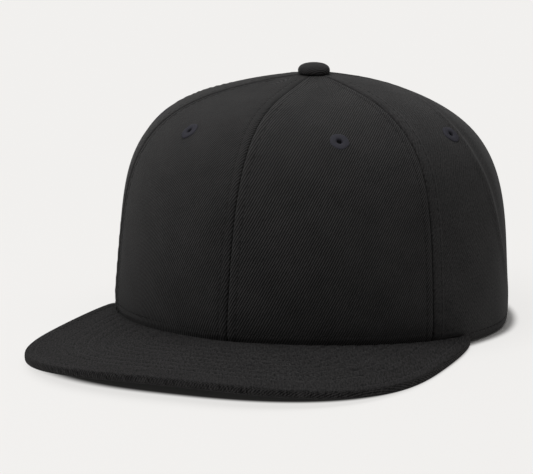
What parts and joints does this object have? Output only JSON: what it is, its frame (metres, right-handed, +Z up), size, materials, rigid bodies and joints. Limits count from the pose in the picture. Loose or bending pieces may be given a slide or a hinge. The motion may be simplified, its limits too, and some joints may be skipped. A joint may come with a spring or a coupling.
{
  "type": "snapback cap",
  "caption": "Black cotton cap with a tall paneled crown, a nearly flat rounded visor, sewn eyelets, a covered button and a plastic snap strap across an arch at the back.",
  "frame": {"origin": "on the surface that the cap stands on, under the middle of the whole cap", "axes": "-Y is the way the cap faces, +X is the wearer's left, +Z is up"},
  "size_m": [0.1792, 0.2646, 0.1153],
  "materials": {
    "twill": "matte black cotton twill",
    "visor_twill": "matte black cotton twill over a stiff board",
    "eyelet_thread": "satin embroidery thread",
    "sweatband_cloth": "matte black cotton",
    "strap_plastic": "semi-matte moulded black plastic"
  },
  "bodies": {
    "root": {"panel_front_left": "twill", "panel_front_right": "twill", "panel_side_left": "twill", "panel_side_right": "twill", "panel_back_left": "twill", "panel_back_right": "twill", "button": "twill", "visor": "visor_twill", "eyelet_front_left": "eyelet_thread", "eyelet_front_right": "eyelet_thread", "eyelet_side_left": "eyelet_thread", "eyelet_side_right": "eyelet_thread", "eyelet_back_left": "eyelet_thread", "eyelet_back_right": "eyelet_thread", "sweatband": "sweatband_cloth", "snap_strap": "strap_plastic"}
  },
  "joints": []
}
